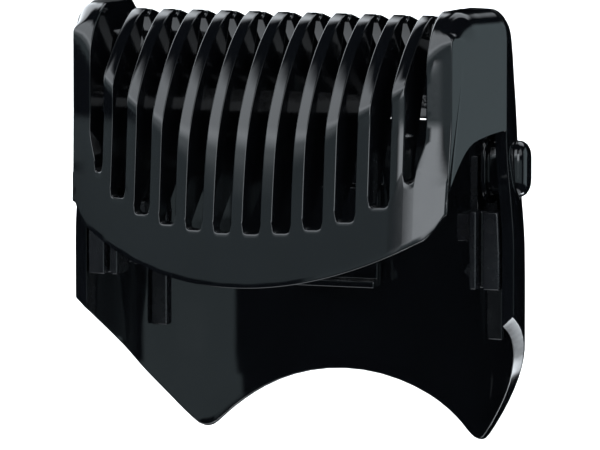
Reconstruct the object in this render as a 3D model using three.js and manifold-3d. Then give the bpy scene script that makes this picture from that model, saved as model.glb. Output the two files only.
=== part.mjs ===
// Clip-on comb attachment for a hair and beard clipper, in glossy black plastic.
//
// Axes: +X to the right, +Y towards the back, +Z up. The comb teeth point up, and the two legs of the
// rear shell stand on Z = 0. Inside this file, depth is measured back from the tips of the teeth and
// "down" is measured down from them; heightAt(down) turns a distance down into Z. The whole group is then
// moved so that its origin lies under the middle of the object.

import * as THREE from 'three';
import { mergeVertices } from 'three/addons/utils/BufferGeometryUtils.js';
import Module from 'manifold-3d';

const wasm = await Module();
wasm.setup();

// ---- Driving dimensions, in millimetres ------------------------------------------------------------

const overallHeight = 51; // tooth tips above the leg tips
const frontReach = 15.5; // bib in front of the tooth tips
const rearReach = 20.5; // back wall behind the tooth tips
const fitGap = 0.3; // between pieces that touch or slide

// Comb head: bib, teeth and cheeks. The teeth set the width of everything else.
const toothPitch = 3.535;
const toothCount = 11;
const toothThickness = 1.46;
const bibRadius = 43;
const bibWall = 1.8;
const bibLowestDown = 30.3;
const bibEdgeRadius = 40;
const cheekStripWidth = 2.12; // from the outermost slot to where the bib turns into the cheek
const cheekFlare = 3.6; // the cheek leans out by this on its way back
const cheekRearDepth = 2.0;
const cheekTopDown = -0.7;
const cheekWall = 1.5;
const shoulderRoundAcross = 2.2; // rounding of the top outer edge, sideways
const shoulderRoundDown = 3.3; // and downwards
const cheekRoofDown = 2.6; // underside of the cheek's solid top
const cheekTabLength = 3.4;
const cheekTabThickness = 1.2;

// Rear shell: side walls, back wall and legs
const shellWall = 1.4;
const shellDrawIn = 0.9; // narrower at the top than at the legs, each side
const shellCornerAcross = 16.6; // the round corner of the plan, sideways
const shellCornerDepth = 3.0; // straight part of the side wall ends here
const legCutHeight = 16.8; // where the slanting cut of the leg meets the outer wall
const legCutPerSideways = 0.956;
const legCutPerDepth = 0.473;
const legArchHeight = 7.7;
const legArchRadius = 22;
const rearOpeningDown = 13.6; // top edge of the back wall, where the rear comb sits

// Rear comb: hooked arms on a curved plate
const rearCombPlateBehind = 5.9; // front of the plate, ahead of the back wall
const rearArmTipDepth = 0.7;

// Guide rails and slide strips
const railThickness = 3.65;
const railGrooveInset = 0.85;
const railGrooveWidth = 0.8;
const railGrooveDeep = 1.6;
const railFrontDepth = 2.0;
const railDepth = 3.6;
const railLength = 8.9;
const stripInset = 7.1; // inner edge of the strip, in from the side wall's outer face
const stripWidth = 2.0;
const stripBehind = 7.7; // front of the strip, ahead of the back wall
const stripThickness = 1.6;
const stripTopDown = 21.0;
const stripLength = 17.3;

// Release buttons, latch pawls, their pins and springs
const buttonDown = 17.75;
const buttonDepth = 6.6;
const buttonHalfHeight = 3.25;
const buttonHalfWidth = 2.1;
const buttonProud = 1.25; // face of the button outside the upper side wall
const buttonEdge = 0.9; // rounding of the button's face
const buttonFlange = 0.8; // how far the flange stands out round the cap
const buttonFlangeThickness = 0.6;
const buttonFlangeInset = 3.1; // outer face of the flange, inside the upper side wall
const buttonNubLength = 0.8;
const pinRadius = 0.5;
const pinInset = 0.3; // pin's axis, inward of the flange
const pinBelowRailTop = 2.1;
const hubRadius = 1.3;
const pawlThickness = 0.9;
const pawlWidth = 2.6;
const pawlAboveButton = 1.35; // upper end of the pawl, above the button's middle
const pawlLowerArm = 5.9;
const hookReach = 0.9;
const hookHeight = 1.8;
const earThickness = 1.2;
const earHalfHeight = 1.6;
const bridgeThickness = 0.7;
const springThickness = 0.25;
const springBow = 2.7; // how far the spring's middle stands off the pawl
const springTopBelowPin = 1.9;
const springBottomBelowPin = 5.7;

// Rear catch tongue
const tongueHalfWidth = 5.2;
const tongueClearance = 1.6; // room to flex back, ahead of the back wall
const tongueThickness = 1.1;
const tongueTopDown = 21.5;
const tongueLength = 11.7;
const lipReach = 1.3;
const lipThickness = 0.9;
const tongueRootHeight = 2.2;

// ---- Worked out from the driving dimensions --------------------------------------------------------

const slotWidth = toothPitch - toothThickness;
const slotCount = toothCount + 1;
const slotOuterX = (toothPitch * toothCount + slotWidth) / 2;
const bibCornerX = slotOuterX + cheekStripWidth;
const cheekRearX = bibCornerX + cheekFlare;
const shellUpperHalfWidth = cheekRearX;
const shellHalfWidth = shellUpperHalfWidth + shellDrawIn;
const shellCornerX = shellHalfWidth - shellCornerAcross;
const shellFrontDepth = cheekRearDepth + fitGap;
const rearCombPlateDepth = rearReach - rearCombPlateBehind;
const buttonFaceX = shellUpperHalfWidth + buttonProud;
const buttonFlangeX = shellUpperHalfWidth - buttonFlangeInset;
const flangeInnerX = buttonFlangeX - buttonFlangeThickness;
const railOuterX = shellHalfWidth - shellWall - fitGap;
const railInnerX = railOuterX - railThickness;
const railRearDepth = railFrontDepth + railDepth;
const railTopDown = buttonDown + buttonHalfHeight + buttonFlange + 2 * fitGap;
const stripInnerX = shellHalfWidth - stripInset;
const stripFrontDepth = rearReach - stripBehind;
const pinX = flangeInnerX - pinInset;
const pinDown = railTopDown + pinBelowRailTop;
const pawlOuterX = flangeInnerX - buttonNubLength - fitGap;
const pawlInnerX = pawlOuterX - pawlThickness;
const pawlFrontDepth = railRearDepth + fitGap;
const pawlRearDepth = pawlFrontDepth + pawlWidth;
const pawlBottomDown = pinDown + pawlLowerArm;
const bridgeOuterX = pawlInnerX - fitGap - 0.2;
const earFrontDepth = pawlRearDepth + fitGap;
const tongueFrontDepth = rearReach - shellWall - tongueClearance - tongueThickness;
const tongueBottomDown = tongueTopDown + tongueLength;
const big = 60;

const heightAt = (down) => overallHeight - down;

// ---- Solids from three.js geometry, joined and cut as manifolds ------------------------------------

function solidFrom(geometry) {
  const bare = geometry.clone();
  bare.deleteAttribute('normal');
  bare.deleteAttribute('uv');
  const merged = mergeVertices(bare, 1e-4);
  return new wasm.Manifold(new wasm.Mesh({
    numProp: 3,
    vertProperties: Float32Array.from(merged.attributes.position.array),
    triVerts: Uint32Array.from(merged.index.array),
  }));
}

function geometryFrom(solid) {
  const mesh = solid.getMesh();
  const geometry = new THREE.BufferGeometry();
  geometry.setAttribute('position', new THREE.BufferAttribute(Float32Array.from(mesh.vertProperties), 3));
  geometry.setIndex(new THREE.BufferAttribute(Uint32Array.from(mesh.triVerts), 1));
  geometry.computeVertexNormals();
  return geometry;
}

function mirrored(geometry) {
  const copy = geometry.clone();
  copy.scale(-1, 1, 1);
  const index = copy.index.array;
  for (let i = 0; i < index.length; i += 3) {
    [index[i], index[i + 1]] = [index[i + 1], index[i]];
  }
  copy.computeVertexNormals();
  return copy;
}

const shapeOf = (points) => new THREE.Shape(points.map(([a, b]) => new THREE.Vector2(a, b)));

// A side outline of [depth, down] points, run along X.
function alongX(points, fromX, toX) {
  const shape = shapeOf(points.map(([depth, down]) => [depth, heightAt(down)]));
  const geometry = new THREE.ExtrudeGeometry(shape, { depth: toX - fromX, bevelEnabled: false });
  const axes = new THREE.Matrix4().makeBasis(
    new THREE.Vector3(0, 1, 0), new THREE.Vector3(0, 0, 1), new THREE.Vector3(1, 0, 0));
  geometry.applyMatrix4(axes).translate(fromX, 0, 0);
  return solidFrom(geometry);
}

// A front outline of [x, down] points, run along Y.
function alongY(points, fromDepth, toDepth) {
  const shape = shapeOf(points.map(([x, down]) => [x, heightAt(down)]));
  const geometry = new THREE.ExtrudeGeometry(shape, { depth: toDepth - fromDepth, bevelEnabled: false });
  geometry.rotateX(Math.PI / 2).translate(0, toDepth, 0);
  return solidFrom(geometry);
}

// A plan outline of [x, depth] points, run along Z.
function alongZ(points, lowDown, highDown) {
  const height = lowDown - highDown;
  const geometry = new THREE.ExtrudeGeometry(shapeOf(points), { depth: height, bevelEnabled: false });
  geometry.translate(0, 0, heightAt(lowDown));
  return solidFrom(geometry);
}

function block(x0, x1, depth0, depth1, highDown, lowDown) {
  const geometry = new THREE.BoxGeometry(x1 - x0, depth1 - depth0, lowDown - highDown);
  geometry.translate((x0 + x1) / 2, (depth0 + depth1) / 2, heightAt((highDown + lowDown) / 2));
  return solidFrom(geometry);
}

// A round rod along Y.
function rod(x, down, radius, depth0, depth1, segments = 16) {
  const geometry = new THREE.CylinderGeometry(radius, radius, depth1 - depth0, segments);
  geometry.translate(x, (depth0 + depth1) / 2, heightAt(down));
  return solidFrom(geometry);
}

function curvePoints(points, divisions) {
  const curve = new THREE.CatmullRomCurve3(points.map(([a, b]) => new THREE.Vector3(a, b, 0)), false, 'centripetal');
  return curve.getPoints(divisions).map((p) => [p.x, p.y]);
}

function arcPoints(centreA, centreB, radius, fromAngle, toAngle, divisions) {
  return Array.from({ length: divisions + 1 }, (_, i) => {
    const angle = fromAngle + ((toAngle - fromAngle) * i) / divisions;
    return [centreA + radius * Math.cos(angle), centreB + radius * Math.sin(angle)];
  });
}

// How far the rounded top edge draws the sides in.
function shoulderTuckAt(down) {
  const up = Math.max(0, cheekTopDown + shoulderRoundDown - down) / shoulderRoundDown;
  return shoulderRoundAcross * (1 - Math.sqrt(1 - Math.min(1, up) ** 2));
}

// ---- Comb head -------------------------------------------------------------------------------------

const bibCentreDepth = -frontReach + bibRadius;

function bibArc(radius, halfWidth, divisions) {
  const half = Math.asin(halfWidth / radius);
  return arcPoints(0, bibCentreDepth, radius, -Math.PI / 2 - half, -Math.PI / 2 + half, divisions);
}

// Front of the teeth, from the bottom of the bib to the tooth tip, as [depth, down].
const toothFront = curvePoints([
  [-frontReach - 0.6, 33], [-frontReach, 28], [-frontReach + 0.55, 23.4], [-frontReach + 1.1, 19.4],
  [-frontReach + 2.5, 12.9], [-frontReach + 4.9, 8.3], [-7, 4], [-4, 1.6], [-1.6, 0.3], [-0.3, 0],
], 18);

// The space behind the teeth, which takes the clipper's blade head.
const headSpace = [
  [-0.75, 0.7], [-3.7, 8.3], [-7.2, 18.1], [-frontReach + 1.6, 24.5], [-frontReach - 0.5, 27],
  [-frontReach - 0.5, big], [big, big], [big, 0.7],
];

// Lower edge of the bib and cheek, right half, as [x, down].
const bibEdgeAngle = Math.asin((bibCornerX - 3.25) / bibEdgeRadius);
const bibEdge = [
  ...arcPoints(0, bibLowestDown - bibEdgeRadius, bibEdgeRadius, Math.PI / 2, Math.PI / 2 - bibEdgeAngle, 8),
  [bibCornerX - 1.2, 24.0], [bibCornerX, 21.9], [bibCornerX + 0.8, 17.4], [cheekRearX - 2.05, 14.6],
  [cheekRearX - 1.1, 13.6], [cheekRearX, 13.1], [big, 13.1],
];

// Slot bottoms follow the bib's edge: each is this far down.
function slotBottomDown(x) {
  return 24.1 - 0.0068 * x * x - 0.0000232 * x ** 4;
}

function slotCutter(x) {
  const bottom = slotBottomDown(x);
  const half = slotWidth / 2;
  const round = arcPoints(x, bottom - half, half, 0, Math.PI, 6);
  return alongY([[x + half, -big], ...round, [x - half, -big]], -frontReach - 2, rearCombPlateDepth);
}

const slotXs = Array.from({ length: slotCount }, (_, i) => (i - (slotCount - 1) / 2) * toothPitch);
const slotCutters = slotXs.map(slotCutter);

function combHead() {
  const headPlan = [
    ...bibArc(bibRadius, bibCornerX, 16), [cheekRearX, cheekRearDepth], [-cheekRearX, cheekRearDepth],
  ];
  const planSolid = alongZ(headPlan, 34, cheekTopDown);
  const sideSolid = alongX([...toothFront, [0.1, 0.25], [5, 20], [5, 33]], -slotOuterX - 0.4, slotOuterX + 0.4);
  const spaceSide = alongX(headSpace, -slotOuterX, slotOuterX);
  const spacePlan = alongZ([...bibArc(bibRadius - bibWall, slotOuterX + 0.5, 12), [big, big], [-big, big]], big, -5);
  let middle = sideSolid.intersect(planSolid).subtract(spaceSide.intersect(spacePlan));
  for (const cutter of slotCutters) {
    middle = middle.subtract(cutter);
  }
  middle = middle.subtract(block(-big, -slotOuterX, -big, big, -5, 17));
  middle = middle.subtract(block(slotOuterX, big, -big, big, -5, 17));

  const cheekFrontDepth = bibCentreDepth - Math.sqrt(bibRadius ** 2 - slotOuterX ** 2) - 0.1;
  const cheekSide = [
    ...curvePoints([[cheekFrontDepth, 26.5], [cheekFrontDepth + 0.5, 10.4], [cheekFrontDepth + 1.5, 5.2],
      [cheekFrontDepth + 3.5, 1.2], [-4.2, cheekTopDown + 0.1], [-2, cheekTopDown]], 10),
    [cheekRearDepth, cheekTopDown], [cheekRearDepth, 26.5],
  ];
  const pocket = alongZ([
    [slotOuterX + cheekWall, -4.2], [slotOuterX + cheekWall + 0.4, -4.2],
    [cheekRearX - cheekWall, cheekRearDepth + 1], [slotOuterX + cheekWall, cheekRearDepth + 1],
  ], 40, cheekRoofDown);
  const bibSpace = alongZ([
    ...bibArc(bibRadius - bibWall, bibCornerX, 12), [big, big], [-big, big],
  ], 60, 22.5);
  const shoulderDowns = [cheekTopDown, -0.55, -0.1, 0.7, cheekTopDown + shoulderRoundDown];
  const shoulder = shoulderDowns.map((down) => [cheekRearX - shoulderTuckAt(down), down]);
  const wallSpace = headSpace.map(([depth, down]) => [depth, Math.max(down, cheekRoofDown)]);
  const cheek = alongX(cheekSide, slotOuterX, big)
    .intersect(planSolid)
    .intersect(alongY([[0, cheekTopDown], ...shoulder, [cheekRearX, big], [0, big]], -big, big))
    .subtract(pocket)
    .subtract(alongX(wallSpace, 0, slotOuterX + cheekWall + 0.1))
    .subtract(bibSpace);
  const tabOuterX = cheekRearX - cheekWall - cheekTabThickness;
  const tab = block(tabOuterX - cheekTabThickness, tabOuterX, -3, cheekRearDepth + cheekTabLength, 5, 10);
  const cheekFoot = alongY([...bibEdge, [big, big], [0, big]], -big, big);
  const right = cheek.add(tab).subtract(cheekFoot);
  const left = solidFrom(mirrored(geometryFrom(right)));
  const footLeft = solidFrom(mirrored(geometryFrom(cheekFoot)));
  return geometryFrom(middle.subtract(cheekFoot).subtract(footLeft).add(right).add(left));
}

// ---- Rear shell ------------------------------------------------------------------------------------

// How far back the outside of the shell reaches at each distance down.
const rearLine = new THREE.CatmullRomCurve3([
  [-0.7, 15.3], [0.2, 13.9], [1.5, 11.1], [3, 8.7], [5.2, 6.5], [8, 4.6], [11, 2.7], [13.7, 1.5],
  [18, 1.2], [23, 1], [28, 0.3], [31.5, 0], [40, 0], [overallHeight + 9, 0],
].map(([down, ahead]) => new THREE.Vector3(down, rearReach - ahead, 0)), false, 'centripetal').getPoints(80);

function rearDepthAt(down) {
  const after = rearLine.findIndex((p) => p.x >= down);
  if (after < 1) {
    return rearLine[0].y;
  }
  const a = rearLine[after - 1];
  const b = rearLine[after];
  return a.y + ((b.y - a.y) * (down - a.x)) / (b.x - a.x);
}

function sideHalfWidthAt(down) {
  const t = THREE.MathUtils.smoothstep(down, 13, 27);
  return shellUpperHalfWidth + (shellHalfWidth - shellUpperHalfWidth) * t - shoulderTuckAt(down);
}

const shellRows = [-0.7, -0.2, 0.8, 3, 5.5, 8, 11, 14, 18, 23, 27, 31.5, 38, overallHeight + 1];

// The shell's rounded plan at every row, shrunk inwards by `inset` and lowered by it at the top.
function shellBody(inset, rows) {
  const corner = arcPoints(0, 0, 1, 0, Math.PI / 2, 9);
  const leftCorner = corner.map(([c, s]) => [-c, s]).reverse();
  const plan = [[1, -1], ...corner, ...leftCorner, [-1, -1]];
  const steps = rows.length - 1;
  const unit = shapeOf(plan.map(([c, s]) => [Math.sign(c) * (Math.abs(c) + 1), s]));
  const geometry = new THREE.ExtrudeGeometry(unit, { depth: steps, steps, bevelEnabled: false });
  const position = geometry.attributes.position;
  for (let i = 0; i < position.count; i += 1) {
    const down = rows[steps - Math.round(position.getZ(i))];
    const side = Math.sign(position.getX(i));
    const c = Math.abs(position.getX(i)) - 1;
    const s = position.getY(i);
    const halfWidth = sideHalfWidthAt(down) - inset;
    const rear = rearDepthAt(down - inset) - inset;
    const x = side * (shellCornerX + (halfWidth - shellCornerX) * c);
    const front = inset > 0 ? shellFrontDepth - 1 : shellFrontDepth;
    const depth = s < 0 ? front : shellCornerDepth + (rear - shellCornerDepth) * s;
    position.setXYZ(i, x, depth, heightAt(down));
  }
  return solidFrom(geometry);
}

function legCutter(side) {
  const geometry = new THREE.BoxGeometry(120, 120, 60).translate(0, 0, -30);
  const up = new THREE.Vector3(-side * legCutPerSideways, legCutPerDepth, 1).normalize();
  geometry.applyQuaternion(new THREE.Quaternion().setFromUnitVectors(new THREE.Vector3(0, 0, 1), up));
  geometry.translate(side * shellHalfWidth, shellFrontDepth, legCutHeight);
  return solidFrom(geometry);
}

function pill(halfWidth, halfHeight, x0, x1, bevel = 0) {
  const straight = halfHeight - halfWidth;
  const points = [
    ...arcPoints(buttonDepth, heightAt(buttonDown) + straight, halfWidth, 0, Math.PI, 8),
    ...arcPoints(buttonDepth, heightAt(buttonDown) - straight, halfWidth, Math.PI, 2 * Math.PI, 8),
  ].map(([depth, z]) => [depth, overallHeight - z]);
  if (bevel === 0) {
    return alongX(points, x0, x1);
  }
  const shape = shapeOf(points.map(([depth, down]) => [depth, heightAt(down)]));
  const geometry = new THREE.ExtrudeGeometry(shape, {
    depth: x1 - x0 - 2 * bevel, bevelEnabled: true, bevelThickness: bevel, bevelSize: bevel, bevelOffset: -bevel,
    bevelSegments: 3,
  });
  const axes = new THREE.Matrix4().makeBasis(
    new THREE.Vector3(0, 1, 0), new THREE.Vector3(0, 0, 1), new THREE.Vector3(1, 0, 0));
  geometry.applyMatrix4(axes).translate(x0 + bevel, 0, 0);
  return solidFrom(geometry);
}

const innerRows = [0.9, 1.6, 3, 5.5, 8, 11, 14, 18, 23, 27, 31.5, 38, overallHeight + 9];

// What fits inside the shell is trimmed to this, which is clear of its walls by the fitting gap.
const roomInShell = shellBody(shellWall + fitGap, innerRows);

function rearShell() {
  const outer = shellBody(0, shellRows);
  const inner = shellBody(shellWall, innerRows);
  let shell = outer.subtract(inner);
  shell = shell.subtract(block(-slotOuterX - fitGap, slotOuterX + fitGap, -big, big, -5, rearOpeningDown));
  const archTopDown = overallHeight - legArchHeight;
  const arch = arcPoints(0, archTopDown + legArchRadius, legArchRadius, 0, 2 * Math.PI, 48).slice(0, 48);
  shell = shell.subtract(alongY(arch, -big, big));
  for (const side of [1, -1]) {
    shell = shell.subtract(legCutter(side));
  }
  const window = pill(buttonHalfWidth + fitGap, buttonHalfHeight + fitGap, shellCornerX, big);
  const windowLeft = solidFrom(mirrored(geometryFrom(window)));
  shell = shell.subtract(window).subtract(windowLeft);
  shell = shell.subtract(block(-big, big, -big, big, overallHeight, overallHeight + big));
  const rootBlock = block(-tongueHalfWidth, tongueHalfWidth, tongueFrontDepth, rearReach - shellWall,
    tongueTopDown - fitGap - tongueRootHeight, tongueTopDown - fitGap);
  return geometryFrom(shell.add(rootBlock));
}

// ---- Rear comb -------------------------------------------------------------------------------------

function rearComb() {
  const top = curvePoints([
    [rearArmTipDepth + 0.5, 0.15], [5, 1.1], [rearReach - 11.5, 2.1], [rearReach - 8.7, 3.3],
    [rearReach - 6.5, 5.2], [rearReach - 4.6, 8], [rearReach - 2.7, 11],
    [rearReach - 1.6, rearOpeningDown - fitGap],
  ], 12);
  const under = [
    [rearReach - 3.2, rearOpeningDown - fitGap], [rearReach - 4.9, 11.2], [rearReach - 7.5, 9.6],
    [7, 7], [2.2, 3], [rearArmTipDepth, 0.6],
  ];
  let comb = alongX([...top, ...under], -slotOuterX, slotOuterX);
  for (const cutter of slotCutters) {
    comb = comb.subtract(cutter);
  }
  const armRoom = block(-big, big, -big, rearCombPlateDepth - 2, -big, big);
  return geometryFrom(comb.intersect(shellBody(0, shellRows).add(armRoom)));
}

// ---- Rails, strips and latch parts, right side -----------------------------------------------------

function guideRail() {
  const grooveX = railInnerX + railGrooveInset;
  const body = block(railInnerX, railOuterX, railFrontDepth, railRearDepth, railTopDown, railTopDown + railLength)
    .subtract(block(grooveX, grooveX + railGrooveWidth, 0, railFrontDepth + railGrooveDeep, 0, big));
  const bridge = block(bridgeOuterX - bridgeThickness, bridgeOuterX, railRearDepth - 1, earFrontDepth + earThickness,
    pinDown - earHalfHeight, pinDown + earHalfHeight);
  const lug = block(bridgeOuterX - bridgeThickness, railInnerX + 0.5, railRearDepth - 1, railRearDepth,
    pinDown - earHalfHeight, pinDown + earHalfHeight);
  const ear = block(bridgeOuterX - bridgeThickness, pinX + hubRadius, earFrontDepth, earFrontDepth + earThickness,
    pinDown - earHalfHeight, pinDown + earHalfHeight);
  const pinHole = rod(pinX, pinDown, pinRadius + fitGap, railRearDepth - 1.4, big);
  return geometryFrom(body.add(lug).add(bridge).add(ear).subtract(pinHole).intersect(roomInShell));
}

function slideStrip() {
  const strip = block(stripInnerX, stripInnerX + stripWidth, stripFrontDepth, stripFrontDepth + stripThickness,
    stripTopDown, stripTopDown + stripLength);
  return geometryFrom(strip.intersect(roomInShell));
}

function releaseButton() {
  const cap = pill(buttonHalfWidth, buttonHalfHeight, flangeInnerX, buttonFaceX, buttonEdge);
  const flange = pill(buttonHalfWidth + buttonFlange, buttonHalfHeight + buttonFlange, flangeInnerX, buttonFlangeX);
  const nub = block(flangeInnerX - buttonNubLength, flangeInnerX + 0.3, pawlFrontDepth + 0.3, pawlRearDepth - 0.9,
    buttonDown - 0.7, buttonDown + 0.7);
  return geometryFrom(flange.intersect(roomInShell).add(cap).add(nub));
}

function latchPawl() {
  const pawlTopDown = buttonDown - pawlAboveButton;
  const lever = [
    [pawlInnerX, pawlTopDown], [pawlOuterX, pawlTopDown], [pawlOuterX, pawlBottomDown],
    [pawlInnerX, pawlBottomDown], [pawlInnerX - hookReach, pawlBottomDown - hookHeight / 3],
    [pawlInnerX, pawlBottomDown - hookHeight],
  ];
  const hub = rod(pinX, pinDown, hubRadius, pawlFrontDepth, pawlRearDepth, 24);
  const hole = rod(pinX, pinDown, pinRadius + fitGap, 0, big);
  return geometryFrom(alongY(lever, pawlFrontDepth, pawlRearDepth).add(hub).subtract(hole));
}

function pawlPin() {
  return geometryFrom(rod(pinX, pinDown, pinRadius, railRearDepth - 1.1, earFrontDepth + earThickness));
}

// A bowed strip of spring steel between the pawl's lower arm and the side wall.
function pawlSpring() {
  const innerX = pawlOuterX + fitGap;
  const outerX = innerX + springBow - fitGap;
  const topDown = pinDown + springTopBelowPin;
  const bottomDown = pinDown + springBottomBelowPin;
  const middle = (topDown + bottomDown) / 2;
  const bow = curvePoints([[innerX, topDown], [outerX - 0.4, middle - 0.9], [outerX, middle],
    [outerX - 0.4, middle + 0.9], [innerX, bottomDown]], 14);
  const back = bow.map(([x, down]) => [x + springThickness, down]).reverse();
  return geometryFrom(alongY([...bow, ...back], pawlFrontDepth + 0.3, pawlRearDepth - 0.3));
}

function catchTongue() {
  const side = [
    [tongueFrontDepth, tongueTopDown], [tongueFrontDepth, tongueBottomDown - lipThickness],
    [tongueFrontDepth - lipReach, tongueBottomDown - lipThickness], [tongueFrontDepth - lipReach, tongueBottomDown],
    [tongueFrontDepth + tongueThickness, tongueBottomDown], [tongueFrontDepth + tongueThickness, tongueTopDown],
  ];
  return geometryFrom(alongX(side, -tongueHalfWidth, tongueHalfWidth));
}

// ---- Assembly --------------------------------------------------------------------------------------

const glossBlack = () => new THREE.MeshStandardMaterial({ color: 0x0c0d0e, roughness: 0.12, metalness: 0 });
const satinBlack = () => new THREE.MeshStandardMaterial({ color: 0x111214, roughness: 0.3, metalness: 0 });
const springSteel = () => new THREE.MeshStandardMaterial({ color: 0xa9adb0, roughness: 0.25, metalness: 1 });

const attachment = new THREE.Group();
attachment.position.y = (frontReach - rearReach) / 2;

function place(name, geometry, material) {
  const mesh = new THREE.Mesh(geometry, material);
  mesh.name = name;
  attachment.add(mesh);
}

function placePair(name, geometry, material) {
  place(`${name}_right`, geometry, material());
  place(`${name}_left`, mirrored(geometry), material());
}

place('comb_head', combHead(), glossBlack());
place('rear_shell', rearShell(), glossBlack());
place('rear_comb', rearComb(), glossBlack());
place('catch_tongue', catchTongue(), glossBlack());
placePair('guide_rail', guideRail(), satinBlack);
placePair('slide_strip', slideStrip(), satinBlack);
placePair('release_button', releaseButton(), glossBlack);
placePair('latch_pawl', latchPawl(), satinBlack);
placePair('pawl_pin', pawlPin(), springSteel);
placePair('pawl_spring', pawlSpring(), springSteel);

const object = new THREE.Group();
object.add(attachment);

export default object;
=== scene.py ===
# Slide-on comb attachment for a hair and beard clipper, moulded in black plastic.
# Lengths are in millimetres, measured as a maker would: x to the right of the middle, depth back from
# the tips of the comb's teeth, and down from them. at(x, depth, down) turns them into the frame's metres.

import math

import bmesh
import bpy
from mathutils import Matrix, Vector
from mathutils.bvhtree import BVHTree


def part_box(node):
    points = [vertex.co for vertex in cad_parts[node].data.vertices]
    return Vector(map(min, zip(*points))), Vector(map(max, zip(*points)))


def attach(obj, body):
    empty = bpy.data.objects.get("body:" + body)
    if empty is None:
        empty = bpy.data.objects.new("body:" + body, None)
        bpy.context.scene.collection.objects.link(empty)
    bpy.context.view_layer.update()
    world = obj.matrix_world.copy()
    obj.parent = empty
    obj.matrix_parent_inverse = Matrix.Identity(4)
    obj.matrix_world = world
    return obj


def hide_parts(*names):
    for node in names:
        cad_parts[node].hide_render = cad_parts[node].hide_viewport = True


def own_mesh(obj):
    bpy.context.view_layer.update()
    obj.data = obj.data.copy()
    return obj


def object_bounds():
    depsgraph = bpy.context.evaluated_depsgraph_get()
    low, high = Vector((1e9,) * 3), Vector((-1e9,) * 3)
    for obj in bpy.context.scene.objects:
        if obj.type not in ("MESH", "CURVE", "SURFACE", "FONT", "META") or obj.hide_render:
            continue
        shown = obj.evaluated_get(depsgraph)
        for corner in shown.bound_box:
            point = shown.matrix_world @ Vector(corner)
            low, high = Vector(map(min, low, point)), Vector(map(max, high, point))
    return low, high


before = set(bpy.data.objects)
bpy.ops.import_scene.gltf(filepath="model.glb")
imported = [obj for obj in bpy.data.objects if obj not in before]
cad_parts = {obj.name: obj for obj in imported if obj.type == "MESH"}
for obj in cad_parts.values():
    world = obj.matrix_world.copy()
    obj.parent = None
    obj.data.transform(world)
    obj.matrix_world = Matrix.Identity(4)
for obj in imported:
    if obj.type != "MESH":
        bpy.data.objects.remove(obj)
cad_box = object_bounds()
scene = bpy.context.scene
scene.view_settings.view_transform = "Standard"

# ---- Camera ------------------------------------------------------------------------------------------
# A long lens, a little above the object and to the right of its front, so that both the slotted bib and
# the right cheek show.

VIEW_AZIMUTH = math.radians(21.5)
VIEW_ELEVATION = math.radians(5.7)
LENS = 400
SENSOR = 36
CAMERA_DISTANCE = 0.7667
AIM_RIGHT = 0.0009  # the view is centred a little right of the middle
AIM_UP = 0.508  # and at this share of the height

away = Vector((
    math.sin(VIEW_AZIMUTH) * math.cos(VIEW_ELEVATION),
    -math.cos(VIEW_AZIMUTH) * math.cos(VIEW_ELEVATION),
    math.sin(VIEW_ELEVATION),
))
aim = Vector((AIM_RIGHT, 0, cad_box[0][2] + AIM_UP * (cad_box[1][2] - cad_box[0][2])))
camera = bpy.data.objects.new("camera", bpy.data.cameras.new("camera"))
camera.data.lens = LENS
camera.data.sensor_width = SENSOR
camera.location = aim + away * CAMERA_DISTANCE
camera.rotation_mode = "QUATERNION"
camera.rotation_quaternion = (-away).to_track_quat("-Z", "Y")
scene.collection.objects.link(camera)
scene.camera = camera

# ---- Studio ------------------------------------------------------------------------------------------
# A white sweep for a ground, and a ring of soft boxes that the glossy surfaces pick up: high in front for
# the ribs, low in front for the bib, at the right for the cheek, and low behind for the cut of the leg.


def linear(hex_colour):
    """An sRGB hex colour as linear RGBA."""
    channels = [int(hex_colour[i:i + 2], 16) / 255 for i in (1, 3, 5)]
    return [c / 12.92 if c <= 0.04045 else ((c + 0.055) / 1.055) ** 2.4 for c in channels] + [1.0]


def add_node(tree, kind, settings, links):
    """Adds a node, sets its sockets or properties by name, and links sockets from other outputs."""
    made = tree.nodes.new(kind)
    for name, value in settings.items():
        if isinstance(name, int) or name in made.inputs:
            made.inputs[name].default_value = value
        else:
            setattr(made, name, value)
    for name, source in links.items():
        tree.links.new(source, made.inputs[name])
    return made


COOL = (0.80, 1.0, 1.07)  # tints of the light: dim panels look slate, bright ones nearly white
PALE = (0.94, 1.0, 1.06)

# Each soft box: azimuth and elevation of its middle, half width, half height, soft edge (all in degrees),
# strength and tint. Azimuth 0 is in front of the object and 90 at its right.
SOFT_BOXES = [
    (-20, 43, 42, 13, 12, 3.0, PALE),
    (-20, 22, 42, 5, 10, 0.9, PALE),
    (-35, 12, 60, 10, 6, 0.42, COOL),
    (44, 15, 8, 12, 9, 4.5, PALE),
    (46, -10, 40, 6, 6, 0.5, COOL),
    (126, 4, 12, 16, 8, 0.85, COOL),
    (72, 34, 16, 12, 9, 1.6, PALE),
    (-122, 28, 26, 20, 10, 3.0, PALE),
    (165, 54, 26, 12, 8, 2.2, PALE),
    (151, -50, 5, 8, 5, 9.0, PALE),
    (0, -80, 180, 16, 10, 1.6, PALE),
]


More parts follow.
